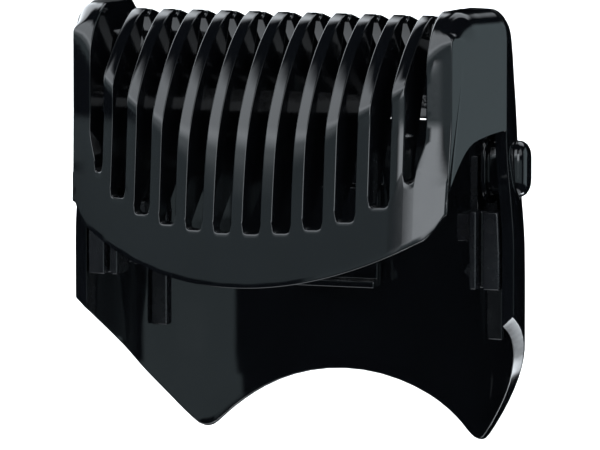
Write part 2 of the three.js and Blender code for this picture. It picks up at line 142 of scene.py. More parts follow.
def studio_world():
    """White to the camera, and dark with soft boxes to everything else."""
    world = bpy.data.worlds.new("studio")
    world.use_nodes = True
    tree = world.node_tree
    tree.nodes.clear()
    towards = add_node(tree, "ShaderNodeTexCoord", {}, {}).outputs["Generated"]
    height = add_node(tree, "ShaderNodeSeparateXYZ", {}, {0: towards}).outputs["Z"]
    lift = add_node(tree, "ShaderNodeMath", {"operation": "ARCSINE"}, {0: height}).outputs[0]
    total = None
    for azimuth, elevation, half_width, half_height, edge, strength, tint in SOFT_BOXES:
        turned = add_node(tree, "ShaderNodeVectorRotate",
                          {"rotation_type": "Z_AXIS", "Angle": -math.radians(azimuth)}, {"Vector": towards})
        parts = add_node(tree, "ShaderNodeSeparateXYZ", {}, {0: turned.outputs[0]})
        ahead = add_node(tree, "ShaderNodeMath", {"operation": "MULTIPLY", 1: -1.0},
                         {0: parts.outputs["Y"]})
        turn = add_node(tree, "ShaderNodeMath", {"operation": "ARCTAN2"},
                        {0: parts.outputs["X"], 1: ahead.outputs[0]})
        rise = add_node(tree, "ShaderNodeMath", {"operation": "SUBTRACT", 1: math.radians(elevation)},
                        {0: lift})
        light = None
        for angle, half in ((turn, half_width), (rise, half_height)):
            aside = add_node(tree, "ShaderNodeMath", {"operation": "ABSOLUTE"}, {0: angle.outputs[0]})
            fade = add_node(tree, "ShaderNodeMapRange", {
                "interpolation_type": "SMOOTHSTEP",
                "From Min": math.radians(half + edge),
                "From Max": math.radians(half),
                "To Min": 0.0,
                "To Max": strength if light is None else 1.0,
            }, {"Value": aside.outputs[0]}).outputs["Result"]
            if light is not None:
                fade = add_node(tree, "ShaderNodeMath", {"operation": "MULTIPLY"},
                                {0: light, 1: fade}).outputs[0]
            light = fade
        colour = add_node(tree, "ShaderNodeVectorMath", {"operation": "SCALE", 0: tint}, {"Scale": light})
        if total is None:
            total = colour.outputs[0]
        else:
            total = add_node(tree, "ShaderNodeVectorMath", {"operation": "ADD"},
                             {0: total, 1: colour.outputs[0]}).outputs[0]
    boxes = add_node(tree, "ShaderNodeBackground", {"Strength": 1.0}, {"Color": total})
    sweep = add_node(tree, "ShaderNodeBackground", {"Strength": 1.0}, {})
    sweep.inputs["Color"].default_value = (1.0, 1.0, 1.0, 1.0)
    rays = add_node(tree, "ShaderNodeLightPath", {}, {})
    mixed = add_node(tree, "ShaderNodeMixShader", {}, {
        0: rays.outputs["Is Camera Ray"], 1: boxes.outputs[0], 2: sweep.outputs[0],
    })
    add_node(tree, "ShaderNodeOutputWorld", {}, {"Surface": mixed.outputs[0]})
    return world


scene.world = studio_world()

FLOOR_SIZE = 4.0
TOP_LIGHT_HEIGHT = 0.6
TOP_LIGHT_SIZE = 0.5
TOP_LIGHT_WATTS = 1.2
PAPER_GLOW = 0.62

bpy.ops.mesh.primitive_plane_add(size=FLOOR_SIZE, location=(0, 0, cad_box[0][2]))
floor = bpy.context.object
floor.name = "floor"
floor_paint = bpy.data.materials.new("matt white paper")
floor_paint.use_nodes = True
paper = floor_paint.node_tree.nodes["Principled BSDF"]
paper.inputs["Base Color"].default_value = linear("#f2f2f2")
paper.inputs["Roughness"].default_value = 0.9
paper.inputs["Emission Color"].default_value = linear("#ffffff")
paper.inputs["Emission Strength"].default_value = PAPER_GLOW
floor.data.materials.append(floor_paint)
floor.visible_glossy = False

top_light = bpy.data.objects.new("top light", bpy.data.lights.new("top light", "AREA"))
top_light.data.energy = TOP_LIGHT_WATTS
top_light.data.size = TOP_LIGHT_SIZE
top_light.location = (0, 0, TOP_LIGHT_HEIGHT)
top_light.visible_glossy = False
scene.collection.objects.link(top_light)

# ---- Comb head ---------------------------------------------------------------------------------------
# One moulding in glossy black ABS: a curved bib with eleven teeth that rise and bend back to their tips,
# and a hollow cheek at each side. The mould leaves its edges with a fine radius.

MM = 0.001
head_low, head_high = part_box("comb_head")
CHEEK_TOP_DOWN = -0.7  # the cheeks stand this far above the tooth tips
FRONT_REACH = 15.5  # bib in front of the tooth tips
tip_height = head_high[2] / MM + CHEEK_TOP_DOWN
tip_depth = head_low[1] / MM + FRONT_REACH


def at(x, depth, down):
    return Vector((x, depth + tip_depth, tip_height - down)) * MM


def blend_up(value, start, end):
    """0 before start, 1 after end, and smooth between them."""
    t = min(1.0, max(0.0, (value - start) / (end - start)))
    return t * t * (3 - 2 * t)


def mix(a, b, t):
    return a + (b - a) * t


def mix_point(a, b, t):
    return tuple(mix(p, q, t) for p, q in zip(a, b))


def soft_max(a, b, width):
    """The larger of two numbers, rounded where they meet."""
    h = max(width - abs(a - b), 0) / width
    return max(a, b) + h * h * width / 4


def smooth_line(points):
    """A smooth function through (t, value) points, for t in rising order."""
    slopes = []
    for i, (t, value) in enumerate(points):
        before, after = points[max(i - 1, 0)], points[min(i + 1, len(points) - 1)]
        slopes.append((after[1] - before[1]) / (after[0] - before[0]))

    def value_at(t):
        t = min(max(t, points[0][0]), points[-1][0])
        i = next((k for k in range(1, len(points)) if points[k][0] >= t), len(points) - 1)
        (t0, v0), (t1, v1) = points[i - 1], points[i]
        s = (t - t0) / (t1 - t0)
        start, end = slopes[i - 1] * (t1 - t0), slopes[i] * (t1 - t0)
        return (v0 * (1 + 2 * s) * (1 - s) ** 2 + start * s * (1 - s) ** 2
                + v1 * s * s * (3 - 2 * s) - end * s * s * (1 - s))

    return value_at


def lengths_along(points):
    """The length of a polyline up to each of its points."""
    lengths = [0.0]
    for a, b in zip(points, points[1:]):
        lengths.append(lengths[-1] + math.dist(a, b))
    return lengths


def run_along(points, shares):
    """Points at the given shares of a polyline's length."""
    lengths = lengths_along(points)
    out = []
    for share in shares:
        reach = share * lengths[-1]
        i = next((k for k in range(1, len(points)) if lengths[k] >= reach - 1e-9), len(points) - 1)
        t = (reach - lengths[i - 1]) / (lengths[i] - lengths[i - 1])
        out.append(mix_point(points[i - 1], points[i], t))
    return out


def shares_of(points):
    """How far along a polyline each of its points lies, from 0 to 1."""
    lengths = lengths_along(points)
    return [length / lengths[-1] for length in lengths]


def solid_from(name, points, faces):
    """A new object with all faces outwards. Points that no face uses are left out."""
    mesh = bpy.data.meshes.new(name)
    mesh.from_pydata([tuple(p) for p in points], [], faces)
    bm = bmesh.new()
    bm.from_mesh(mesh)
    bmesh.ops.delete(bm, geom=[v for v in bm.verts if not v.link_faces], context="VERTS")
    bmesh.ops.recalc_face_normals(bm, faces=bm.faces)
    bm.to_mesh(mesh)
    bm.free()
    piece = bpy.data.objects.new(name, mesh)
    scene.collection.objects.link(piece)
    return piece


def walled(name, outside, inside, faces):
    """A closed solid between matching outside and inside points. Faces index the outside."""
    count = len(outside)
    uses = {}
    for face in faces:
        for edge in zip(face, face[1:] + face[:1]):
            uses.setdefault(frozenset(edge), []).append(edge)
    rim = [found[0] for found in uses.values() if len(found) == 1]
    solid = [list(face) for face in faces]
    solid += [[v + count for v in reversed(face)] for face in faces]
    solid += [[b, a, a + count, b + count] for a, b in rim]
    return solid_from(name, outside + inside, solid)


def both_halves(outside, inside, faces):
    """Adds the mirror image of a right half, sharing the points in the middle plane."""
    twin = {}
    outside, inside = list(outside), list(inside)
    for i in range(len(outside)):
        if abs(outside[i].x) < 1e-9:
            twin[i] = i
            continue
        twin[i] = len(outside)
        outside.append(Vector((-outside[i].x, outside[i].y, outside[i].z)))
        inside.append(Vector((-inside[i].x, inside[i].y, inside[i].z)))
    return outside, inside, faces + [[twin[v] for v in reversed(face)] for face in faces]


def applied(piece):
    """Turns the piece and its modifiers into a plain mesh."""
    graph = bpy.context.evaluated_depsgraph_get()
    mesh = bpy.data.meshes.new_from_object(piece.evaluated_get(graph))
    piece.modifiers.clear()
    old = piece.data
    piece.data = mesh
    bpy.data.meshes.remove(old)
    mesh.name = piece.name


def join_in(piece, others):
    """Fuses other closed solids into the piece."""
    for other in others:
        fuse = piece.modifiers.new("fuse", "BOOLEAN")
        fuse.operation = "UNION"
        fuse.solver = "MANIFOLD"
        fuse.object = other
    applied(piece)
    for other in others:
        bpy.data.objects.remove(other)


MOULD_RADIUS = 0.2  # fine radius that the mould leaves on an edge
SHARP = math.radians(40)
SEAM_SHARE = 0.25  # an edge on a seam gets this share of the radius
STRAY_SHARE = 0.6  # a point further off the sharp shape than this share of the radius is astray


def ease_edges(piece, radius=MOULD_RADIUS, seam=None):
    """Rounds every sharp edge, and less where seam is true of both its ends."""
    bm = bmesh.new()
    bm.from_mesh(piece.data)
    weight = bm.edges.layers.float.new("bevel_weight_edge")
    for edge in bm.edges:
        if len(edge.link_faces) == 2 and edge.calc_face_angle(0) > SHARP:
            on_seam = seam is not None and all(seam(v.co) for v in edge.verts)
            edge[weight] = SEAM_SHARE if on_seam else 1.0
    sharp_shape = BVHTree.FromBMesh(bm)
    bm.to_mesh(piece.data)
    bm.free()
    ease = piece.modifiers.new("ease", "BEVEL")
    ease.limit_method = "WEIGHT"
    ease.width = radius * MM
    ease.segments = 3
    ease.use_clamp_overlap = False
    flatten = piece.modifiers.new("flatten", "WEIGHTED_NORMAL")
    flatten.weight = 50
    flatten.keep_sharp = True
    for polygon in piece.data.polygons:
        polygon.use_smooth = True
    applied(piece)
    # Where several short edges meet, a rounded corner can shoot out of the solid, so it is pulled back.
    for vertex in piece.data.vertices:
        nearest, _, _, gap = sharp_shape.find_nearest(vertex.co)
        if gap > STRAY_SHARE * radius * MM:
            vertex.co = nearest
    piece.data.update()


def box_solid(name, x0, x1, depth0, depth1, high, low):
    """A plain block between two depths and two distances down."""
    corners = [(x0, depth0), (x1, depth0), (x1, depth1), (x0, depth1)]
    top = [at(x, depth, high) for x, depth in corners]
    bottom = [at(x, depth, low) for x, depth in corners]
    return walled(name, top, bottom, [[0, 1, 2, 3]])


def finish_piece(piece, material, body, slot, *nodes):
    """Paints a piece, makes it move with its body, and lets it stand for its frame parts."""
    piece.data.materials.clear()
    piece.data.materials.append(material)
    for polygon in piece.data.polygons:
        polygon.material_index = 0
    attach(piece, body)
    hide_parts(*nodes)


TOOTH_PITCH = 3.535
TOOTH_THICKNESS = 1.46
TOOTH_COUNT = 11
BIB_RADIUS = 43
BIB_WALL = 1.8
BIB_LEAN = 0.085  # back per unit up, above the rim
BIB_LEAN_TO = 12.0  # the lean ends this far down
BIB_CREASE = 0.5  # softness of the line where the teeth leave the bib
RIM_RADIUS = 40
RIM_LOWEST = 30.3
RIM_ARC_END = 19.35  # beyond this far sideways the rim turns up towards the cheek
CORNER_RIM_DOWN = 21.9  # the rim where the bib turns into the cheek
SLOT_CORNER = 0.55
SLOT_LOWEST = 24.1
SLOT_RISE_2 = 0.0068  # the slots end higher towards the sides, by these terms in x to the powers 2 and 4
SLOT_RISE_4 = 0.0000232
CHEEK_STRIP = 2.12  # from the outermost slot to the turn of the cheek
CHEEK_FLARE = 3.6  # leans out by this from its front corner to FLARE_END
FLARE_END = 2.0
CHEEK_WALL = 1.5
CHEEK_REAR = 2.12  # rear edge of the cheek, where the shell begins
CHEEK_ROOF = 2.6  # underside of the cheek's solid top
CREASE_RADIUS = 0.15
SHOULDER_ACROSS = 2.2  # rounding of the cheek's top corner, sideways
SHOULDER_DOWN = 3.3  # and downwards
STRIP_BACK_X = 21.6  # the wall behind the strip keeps the depth it has here
TOOTH_NOSE = [(-0.08, 0.05), (0.07, 0.2), (0.12, 0.42)]  # (depth, down) round the tip

slot_half = (TOOTH_PITCH - TOOTH_THICKNESS) / 2
slot_outer_x = TOOTH_PITCH * TOOTH_COUNT / 2 + slot_half
bib_centre = BIB_RADIUS - FRONT_REACH
corner_x = slot_outer_x + CHEEK_STRIP
corner_depth = bib_centre - math.sqrt(BIB_RADIUS ** 2 - corner_x ** 2)
flare_slope = CHEEK_FLARE / (FLARE_END - corner_depth)
cheek_out = Vector((1, -flare_slope, 0)).normalized()

tooth_front = [
    (-FRONT_REACH - 0.6, 33), (-FRONT_REACH, 28), (-14.95, 23.4), (-14.4, 19.4), (-13, 12.9), (-10.6, 8.3),
    (-7, 4), (-4, 1.6), (-1.6, 0.3), (-0.3, 0),
]
tooth_back = [(-0.1, 0.85), (-0.9, 1.05), (-3.7, 8.3), (-7.2, 18.1), (-13.9, 24.5), (-16, 27)]
front_by_down = smooth_line([(down, depth) for depth, down in reversed(tooth_front)])


def bib_lean(down):
    """How far the bib's face lies behind its rim: the bib leans back a little on its way up."""
    return BIB_LEAN * (RIM_LOWEST - max(down, BIB_LEAN_TO))


def bib_outside(x, down):
    return bib_centre - math.sqrt(BIB_RADIUS ** 2 - x * x) + bib_lean(down)


def bib_inside(x, down):
    return bib_centre - math.sqrt((BIB_RADIUS - BIB_WALL) ** 2 - x * x) + bib_lean(down)


def tooth_back_at(down):
    """Depth of the back of a tooth."""
    for (y0, d0), (y1, d1) in zip(tooth_back, tooth_back[1:]):
        if down <= d1:
            return mix(y0, y1, max(0.0, (down - d0) / (d1 - d0)))
    return tooth_back[-1][0]


rim_past_arc = smooth_line([
    (RIM_ARC_END, 25.3), (20.5, 24.75), (21.4, 23.9), (22.1, 22.9), (corner_x, CORNER_RIM_DOWN),
])


def rim_down(x):
    """Lower edge of the bib: a wide arc that turns up towards each cheek."""
    if abs(x) < RIM_ARC_END:
        return RIM_LOWEST - RIM_RADIUS + math.sqrt(RIM_RADIUS ** 2 - x * x)
    return rim_past_arc(abs(x))


def slot_bottom(x):
    return SLOT_LOWEST - SLOT_RISE_2 * x * x - SLOT_RISE_4 * x ** 4


LOWER_ROWS = 9
TOOTH_ROWS = 34
FRONT_SAMPLES = 60
OUTER_SLOT_BOTTOM = 18.2
OUTER_SLOT_BOTTOM_X = 18.95
OUTER_SLOT_TURN = 13.0  # below this the outermost slot narrows to its bottom


def slot_columns(x, bottom, half):
    """(x, down) along the rounded bottom of a slot, from left to right."""
    corner = [(half - SLOT_CORNER + SLOT_CORNER * math.sin(a), -SLOT_CORNER + SLOT_CORNER * math.cos(a))
              for a in (math.radians(22.5 * k) for k in range(5))]
    right = [(x + across, bottom + down) for across, down in corner]
    left = [(x - across, bottom + down) for across, down in reversed(corner)]
    return left + right


def head_columns():
    """(x, down, reaches up) for the right half: the line where slots and teeth start above the bib."""
    level = slot_bottom(TOOTH_PITCH / 2) - SLOT_CORNER
    line = [(0.0, level, True)]
    for k in range(TOOTH_COUNT // 2):
        middle = (k + 0.5) * TOOTH_PITCH
        slot = slot_columns(middle, slot_bottom(middle), slot_half)
        line += [(x, down, i in (0, len(slot) - 1)) for i, (x, down) in enumerate(slot)]
        last = k + 1 == TOOTH_COUNT // 2
        next_bottom = OUTER_SLOT_BOTTOM if last else slot_bottom(middle + TOOTH_PITCH)
        line.append(((k + 1) * TOOTH_PITCH, (slot_bottom(middle) + next_bottom) / 2 - SLOT_CORNER, True))
    slot = slot_columns(OUTER_SLOT_BOTTOM_X, OUTER_SLOT_BOTTOM, SLOT_CORNER)
    del slot[len(slot) // 2]  # the narrow bottom has no flat, so its two middle points are one
    return line + [(x, down, i == 0) for i, (x, down) in enumerate(slot)]


def front_at(x, down):
    return soft_max(bib_outside(x, down), front_by_down(down), BIB_CREASE)


def back_at(x, down):
    return soft_max(bib_inside(x, down), tooth_back_at(down), BIB_CREASE)


def tooth_column(x, foot):
    """Outside and inside points of one line up a tooth, from the bib to the tip."""
    downs = [foot * (1 - i / FRONT_SAMPLES) for i in range(FRONT_SAMPLES + 1)]
    shares = [i / TOOTH_ROWS for i in range(TOOTH_ROWS + 1)]
    front = run_along([(front_at(x, d), d) for d in downs], shares)
    back_line = [(back_at(x, foot), foot)] + [p for p in reversed(tooth_back[1:]) if p[1] < foot]
    back = run_along(back_line, shares)
    front += TOOTH_NOSE
    back += [mix_point(back[-1], tooth_back[0], (i + 1) / len(TOOTH_NOSE)) for i in range(len(TOOTH_NOSE))]
    return [at(x, y, d) for y, d in front[1:]], [at(x, y, d) for y, d in back[1:]]


CHEEK_OUTLINE = [
    (-11.6, 17.65), (-10.5, 14), (-9.9, 10.4), (-8.9, 5.2), (-6.9, 1.2), (-4.2, -0.6), (-2, CHEEK_TOP_DOWN),
    (0, CHEEK_TOP_DOWN), (CHEEK_REAR, CHEEK_TOP_DOWN),
]
CHEEK_ROWS = 44
STRIP_SHARES = (0.0, 1 / 3, 2 / 3, 1.0)
TURN_STEPS = 6
INNER_CORNER = 0.3
INNER_BEND = (-3.7, 8.3)  # (depth, down) where the cheek's inner wall bends towards its roof


def cheek_turn(corner, inward, tangent, across, around):
    """Points round the corner between the front strip and the cheek's outer face."""
    normal = Vector((1, 0, 0)).cross(tangent).normalized()
    back = -(normal - normal.dot(cheek_out) * cheek_out).normalized()
    points = []
    for i in range(TURN_STEPS + 1):
        turn = math.pi / 2 * i / TURN_STEPS
        points.append(corner + inward * across * (1 - math.sin(turn)) * MM
                      + back * around * (1 - math.cos(turn)) * MM)
    return points


def cheek_rows():
    """Rows across the cheek, from its lower rim to the rear of its roof: (outside, inside) points."""
    chord = shares_of(CHEEK_OUTLINE)
    depth_by_share = smooth_line([(t, p[0]) for t, p in zip(chord, CHEEK_OUTLINE)])
    down_by_share = smooth_line([(t, p[1]) for t, p in zip(chord, CHEEK_OUTLINE)])
    shares = [i / CHEEK_ROWS for i in range(CHEEK_ROWS + 1)]
    outline = [(depth_by_share(t), down_by_share(t)) for t in shares]
    foot = CHEEK_OUTLINE[0][1]
    inner_line = [(tooth_back_at(foot), foot), INNER_BEND, (-1.6, CHEEK_ROOF), (CHEEK_REAR, CHEEK_ROOF)]
    inner = run_along(inner_line, shares_of(outline))
    # Each row: its corner, the inner wall behind it, how far up the bib it is, and the strip's depth above
    # the bib. One of the last two is None.
    rows = []
    for i in range(LOWER_ROWS):
        down = mix(rim_down(corner_x), foot, i / LOWER_ROWS)
        corner_line = (bib_outside(corner_x, down), down)
        rows.append((corner_line, (back_at(STRIP_BACK_X, down), down), i / LOWER_ROWS, None))
    for (depth, down), behind in zip(outline, inner):
        corner_line = (soft_max(bib_outside(corner_x, down), depth, BIB_CREASE), down)
        rows.append((corner_line, behind, None, depth))
    wall_across = CHEEK_WALL / cheek_out.x
    made = []
    for i, ((depth, down), (back_depth, back_down), lower, strip_depth) in enumerate(rows):
        corner_across = corner_x + (depth - corner_depth) * flare_slope
        corner = at(corner_across, depth, down)
        before, after = rows[max(i - 1, 0)][0], rows[min(i + 1, len(rows) - 1)][0]
        tangent = (at(0, *after) - at(0, *before)).normalized()
        lean = blend_up(Vector((1, 0, 0)).cross(tangent).z, 0.2, 0.95)
        across = mix(CREASE_RADIUS, SHOULDER_ACROSS, lean)
        around = mix(CREASE_RADIUS, SHOULDER_DOWN, lean)
        inner_across = corner_x + (back_depth - corner_depth) * flare_slope - wall_across
        inner_corner = at(inner_across, back_depth, back_down)
        slot_turned = blend_up(down, OUTER_SLOT_TURN, foot)
        slot_x = mix(slot_outer_x, OUTER_SLOT_BOTTOM_X + SLOT_CORNER, slot_turned)
        outside, inside = [], []
        for share in STRIP_SHARES:
            x = mix(slot_x, corner_across - across, share)
            inner_x = mix(slot_x, inner_across - INNER_CORNER, share)
            if lower is None:
                bib_depth = bib_outside(min(x, corner_x), down)
                outside.append(at(x, soft_max(bib_depth, strip_depth, BIB_CREASE), down))
                inside.append(at(inner_x, back_depth, back_down))
            else:
                row_down = mix(rim_down(x), foot, lower)
                outside.append(at(x, front_at(x, row_down), row_down))
                inside.append(at(inner_x, back_at(inner_x, row_down), row_down))
        inward = (outside[-1] - corner).normalized()
        inner_way = Vector((-1, 0, 0))
        outside = outside[:-1] + cheek_turn(corner, inward, tangent, across, around)
        inside = inside[:-1] + cheek_turn(inner_corner, inner_way, tangent, INNER_CORNER, INNER_CORNER)
        made.append((outside, inside))
    return made


CHEEK_REAR_DOWNS = (5.5, 8.0, 10.5)
CHEEK_RIM_STEPS = 16


def comb_head():
    """The whole head: bib, teeth and cheeks, as one closed wall."""
    outside, inside, faces = [], [], []

    def add(front, back):
        outside.append(front)
        inside.append(back)
        return len(outside) - 1

    columns = head_columns()
    grid = []
    for x, foot, reaches_up in columns:
        column = []
        for i in range(LOWER_ROWS + 1):
            down = mix(rim_down(x), foot, i / LOWER_ROWS)
            column.append(add(at(x, front_at(x, down), down), at(x, back_at(x, down), down)))
        if reaches_up:
            column += [add(front, back) for front, back in zip(*tooth_column(x, foot))]
        grid.append(column)
    rows = cheek_rows()
    first = [grid[-1][i] for i in range(LOWER_ROWS + 1)]
    first += [add(outer[0], inner[0]) for outer, inner in rows[LOWER_ROWS + 1:]]
    strips = [first]
    for k in range(1, len(rows[0][0])):
        strips.append([add(outer[k], inner[k]) for outer, inner in rows])
    for left, right in list(zip(grid, grid[1:])) + list(zip(strips, strips[1:])):
        for i in range(min(len(left), len(right)) - 1):
            faces.append([left[i], right[i], right[i + 1], left[i + 1]])

    wall_across = CHEEK_WALL / cheek_out.x
    rear_x = corner_x + (CHEEK_REAR - corner_depth) * flare_slope
    side_rim = smooth_line([
        (corner_x, CORNER_RIM_DOWN), (23.4, 17.4), (24.15, 14.6), (25.1, 13.6), (rear_x, 13.1),
    ])
    side = list(strips[-1])
    for down in CHEEK_REAR_DOWNS:
        side.append(add(at(rear_x, CHEEK_REAR, down), at(rear_x - wall_across, CHEEK_REAR, down)))
    for i in range(CHEEK_RIM_STEPS):
        share = i / CHEEK_RIM_STEPS
        x = mix(rear_x, corner_x, share)
        depth = corner_depth + (x - corner_x) / flare_slope
        inner_depth = mix(depth, back_at(STRIP_BACK_X, rim_down(corner_x)), share ** 3)
        inner_x = corner_x + (inner_depth - corner_depth) * flare_slope - wall_across
        side.append(add(at(x, depth, side_rim(x)), at(inner_x, inner_depth, side_rim(x))))
    faces.append(list(reversed(side)))
    return walled("toothed_head", *both_halves(outside, inside, faces))


ON_EDGE = 0.01  # a point this near a plane counts as on it
TIP_ZONE = 0.7


def on_head_seam(point):
    """True on the rear edges of the cheeks and on the small edges round the tooth tips."""
    at_tip = tip_height - point.z / MM < TIP_ZONE and abs(point.x) / MM < slot_outer_x
    return at_tip or abs(point.y / MM - tip_depth - CHEEK_REAR) < ON_EDGE


head = comb_head()
ease_edges(head, seam=on_head_seam)


PLASTIC_IOR = 1.53
SHADE_PATCH = 7.0
DULL_PATCH = 1.8


def speckle(tree, size, low, high):
    """Soft noise with blobs of the given size in millimetres, mapped to low .. high."""
    place = add_node(tree, "ShaderNodeTexCoord", {}, {}).outputs["Object"]
    noise = add_node(tree, "ShaderNodeTexNoise", {"Scale": 1 / (size * MM), "Detail": 3.0},
                     {"Vector": place})
    spread = {"From Min": 0.3, "From Max": 0.7, "To Min": low, "To Max": high}
    return add_node(tree, "ShaderNodeMapRange", spread, {"Value": noise.outputs[0]}).outputs["Result"]


def moulded_plastic(name, colour, roughness, grain, grain_height):
    """Nearly even in colour and duller in faint patches, with a fine grain from the mould."""
    material = bpy.data.materials.new(name)
    material.use_nodes = True
    tree = material.node_tree
    shader = tree.nodes["Principled BSDF"]
    shader.inputs["IOR"].default_value = PLASTIC_IOR
    shade = add_node(tree, "ShaderNodeVectorMath", {"operation": "SCALE", 0: linear(colour)[:3]},
                     {"Scale": speckle(tree, SHADE_PATCH, 0.85, 1.15)})
    dullness = speckle(tree, DULL_PATCH, 0.8 * roughness, 1.3 * roughness)
    grained = add_node(tree, "ShaderNodeBump", {"Strength": 1.0, "Distance": 1.0},
                       {"Height": speckle(tree, grain, 0.0, grain_height * MM)})
    tree.links.new(shade.outputs[0], shader.inputs["Base Color"])
    tree.links.new(dullness, shader.inputs["Roughness"])
    tree.links.new(grained.outputs[0], shader.inputs["Normal"])
    return material


gloss_black = moulded_plastic("gloss black ABS, polished mould", "#060709", 0.07, 2.4, 0.0018)
finish_piece(head, gloss_black, "frame", "gloss_abs", "comb_head")

# ---- Rear shell --------------------------------------------------------------------------------------
# The open shell behind the head, moulded in the same black ABS: two side walls and a back wall that end
# in two legs, with a window at each side for the release button and a root for the catch.

SHELL_WALL = 1.4
SHELL_EDGE_WALL = 1.1  # the wall thins towards the arch
SHELL_FRONT = 2.18
SHELL_CORNER_DEPTH = 3.0  # the straight side wall ends here and the round corner begins
SHELL_CORNER_ACROSS = 16.6
SHELL_DRAW_IN = 0.9  # narrower at the top than at the legs, each side
ROOF_EXTRA = 0.2  # the roof is thicker than the wall by this
REAR_REACH = 20.5
REAR_OPENING_DOWN = 13.6
FIT_GAP = 0.3
LEG_CUT_DOWN = 34.2
LEG_CUT_PER_SIDEWAYS = 0.956
LEG_CUT_PER_DEPTH = 0.473
ARCH_TOP_DOWN = 43.3
ARCH_RADIUS = 22
LEG_TIP_ROUND = 3.0
LEG_FACE_TURN = 0.4  # the cut face's inner edge drops by this on the lower part of the leg
FOOT_DOWN = tip_height - cad_box[0][2] / MM
RIDGE_ABOVE_EDGE = 3.7

button_low, button_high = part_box("release_button_right")
button_depth = (button_low[1] + button_high[1]) / 2 / MM - tip_depth
button_down = tip_height - (button_low[2] + button_high[2]) / 2 / MM
BUTTON_HALF_WIDTH = 2.1
BUTTON_HALF_HEIGHT = 3.25

opening_x = slot_outer_x + FIT_GAP
shell_top_half = corner_x + CHEEK_FLARE
shell_half = shell_top_half + SHELL_DRAW_IN
shell_corner_x = shell_half - SHELL_CORNER_ACROSS

rear_by_down = smooth_line([
    (-0.7, 5.2), (0.2, 6.6), (1.5, 9.4), (3, 11.8), (5.2, 14), (8, 15.9), (11, 17.8), (13.7, 19), (18, 19.3),
    (23, 19.5), (28, 20.2), (31.5, REAR_REACH), (40, REAR_REACH), (60, REAR_REACH),
])


def shell_half_at(down):
    up = min(1.0, max(0.0, CHEEK_TOP_DOWN + SHOULDER_DOWN - down) / SHOULDER_DOWN)
    tuck = SHOULDER_ACROSS * (1 - math.sqrt(1 - up * up))
    return shell_top_half + SHELL_DRAW_IN * blend_up(down, 13, 27) - tuck


def shell_reaches(down, inset):
    """Half width and rear depth of the shell at one height, inset from its outside."""
    return shell_half_at(down) - inset, rear_by_down(down - inset) - inset


def shell_depth_at(x, down, inset):
    half, rear = shell_reaches(down, inset)
    across = max(0.0, abs(x) - shell_corner_x) / (half - shell_corner_x)
    return SHELL_CORNER_DEPTH + (rear - SHELL_CORNER_DEPTH) * math.sqrt(max(0.0, 1 - across * across))


def shell_x_at(depth, down, inset):
    half, rear = shell_reaches(down, inset)
    back = max(0.0, depth - SHELL_CORNER_DEPTH) / (rear - SHELL_CORNER_DEPTH)
    return shell_corner_x + (half - shell_corner_x) * math.sqrt(1 - back * back)


def shell_bottom(x, depth):
    """Lower edge of the shell: the arch between the legs, then the slanting cut up to the front."""
    cut = (LEG_CUT_DOWN + LEG_CUT_PER_SIDEWAYS * (shell_half - abs(x))
           + LEG_CUT_PER_DEPTH * (depth - SHELL_FRONT))
    if abs(x) >= ARCH_RADIUS - 0.5:
        return cut
    arch = ARCH_TOP_DOWN + ARCH_RADIUS - math.sqrt(ARCH_RADIUS ** 2 - x * x)
    return min(-soft_max(-arch, -cut, LEG_TIP_ROUND), FOOT_DOWN)


BACK_XS = [
    0, 2.2, 4.4, 6.6, 8.6, 10.5, 11.8, 13.0, 14.0, 14.8, 15.5, 16.1, 16.6, 17.0, 17.4, 17.9, 18.5, 19.2, 20.0,
]
SIDE_SHARES = [k / 5 * 0.46 for k in range(6)] + [0.46 + 0.54 * k / 6 for k in range(1, 7)]
shoulder_downs = [CHEEK_TOP_DOWN + SHOULDER_DOWN * (1 - math.cos(math.radians(90 * k / 8))) for k in range(9)]
UPPER_DOWNS = shoulder_downs + [3.6, 4.8, 6.2, 7.8, 9.6, 11.6, REAR_OPENING_DOWN]
WINDOW_DOWNS = [14.1 + 0.92 * k for k in range(9)]
WINDOW_FROM = 5  # the window begins this many lines in front of the back wall's last one
WALL_STEPS = 10
EDGE_STEPS = 4


def shell_place(column, down, inset):
    """A point of the shell on one of its vertical lines, as (x, depth)."""
    kind, value = column
    half, rear = shell_reaches(down, inset)
    if kind == "back":
        return value, shell_depth_at(value, down, inset)
    if kind == "front":
        return half, SHELL_FRONT
    edge = math.acos((opening_x - shell_corner_x) / (half - shell_corner_x))
    turn = edge * (1 - value)
    return (shell_corner_x + (half - shell_corner_x) * math.cos(turn),
            SHELL_CORNER_DEPTH + (rear - SHELL_CORNER_DEPTH) * math.sin(turn))


